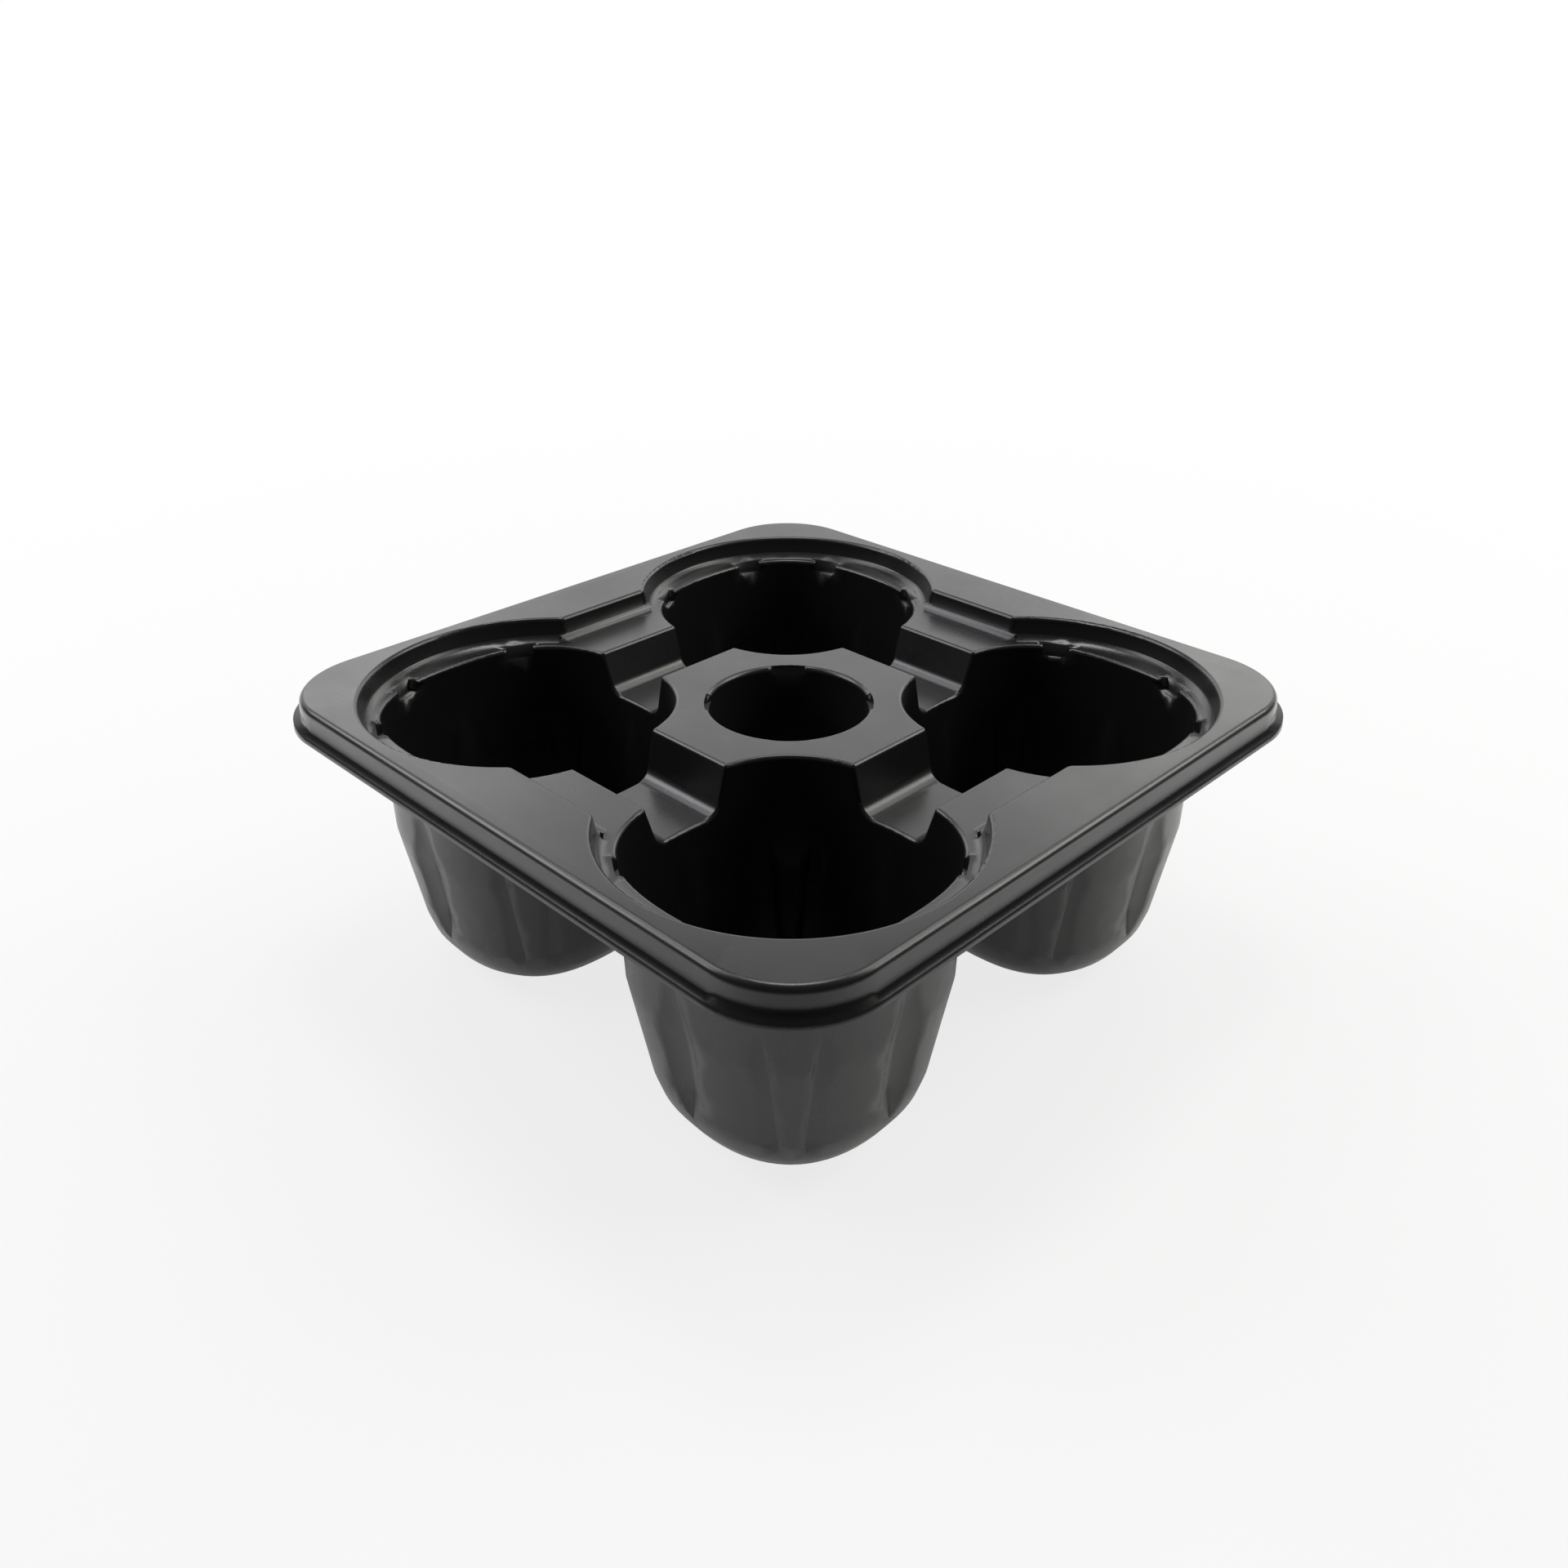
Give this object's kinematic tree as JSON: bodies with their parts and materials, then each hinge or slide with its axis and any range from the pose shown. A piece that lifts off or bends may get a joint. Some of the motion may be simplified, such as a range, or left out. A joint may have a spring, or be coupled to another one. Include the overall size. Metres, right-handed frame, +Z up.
{
  "type": "plastic cup carrier tray",
  "caption": "Thermoformed black plastic carrier tray with tapered cup wells around a raised centre platform, bridges between the wells and a flanged rim.",
  "frame": {"origin": "centre of the tray in plan, on the plane the cup wells stand on", "axes": "+Z up through the centre well; +X and +Y square to the sides of the flange"},
  "size_m": [0.215, 0.215, 0.084],
  "materials": {
    "tray_plastic": "satin black thermoformed sheet"
  },
  "bodies": {
    "root": {"carrier_tray": "tray_plastic"}
  },
  "joints": []
}
